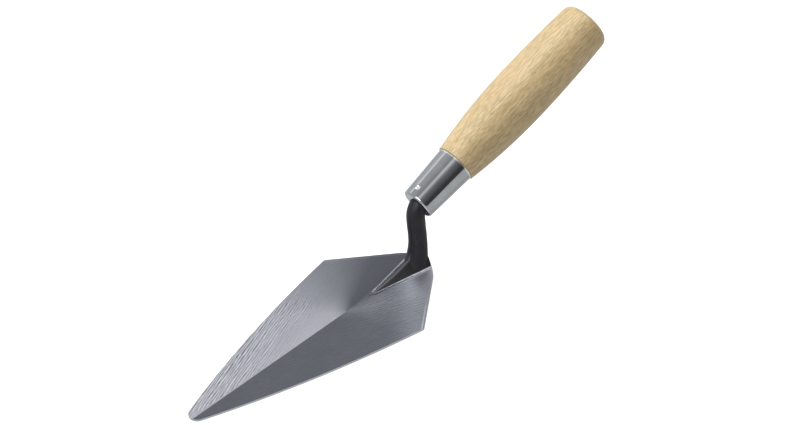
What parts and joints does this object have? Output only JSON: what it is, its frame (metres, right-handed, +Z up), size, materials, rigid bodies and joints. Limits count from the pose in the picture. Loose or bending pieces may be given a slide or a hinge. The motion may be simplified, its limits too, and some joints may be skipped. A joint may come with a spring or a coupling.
{
  "type": "pointing trowel",
  "caption": "Brick trowel of the small pointed pattern: thin diamond blade, black bent shank, bright tapered ferrule and turned wooden handle.",
  "frame": {"origin": "on the blade's flat underside, on the centre line, where the blade is widest", "axes": "+X from the blade's point towards the handle, +Z up out of the blade's top, +Y to the left"},
  "size_m": [0.2594, 0.0696, 0.085],
  "materials": {
    "blade_steel": "ground carbon steel with visible grinding lines, clear lacquered",
    "shank_black": "satin black over the forged surface",
    "seam_steel": "ground bright",
    "ferrule_chrome": "polished plating",
    "handle_wood": "pale hardwood, turned and varnished"
  },
  "bodies": {
    "root": {"blade": "blade_steel", "shank": "shank_black", "weld_seam_left": "seam_steel", "weld_seam_right": "seam_steel", "ferrule": "ferrule_chrome", "handle": "handle_wood"}
  },
  "joints": []
}
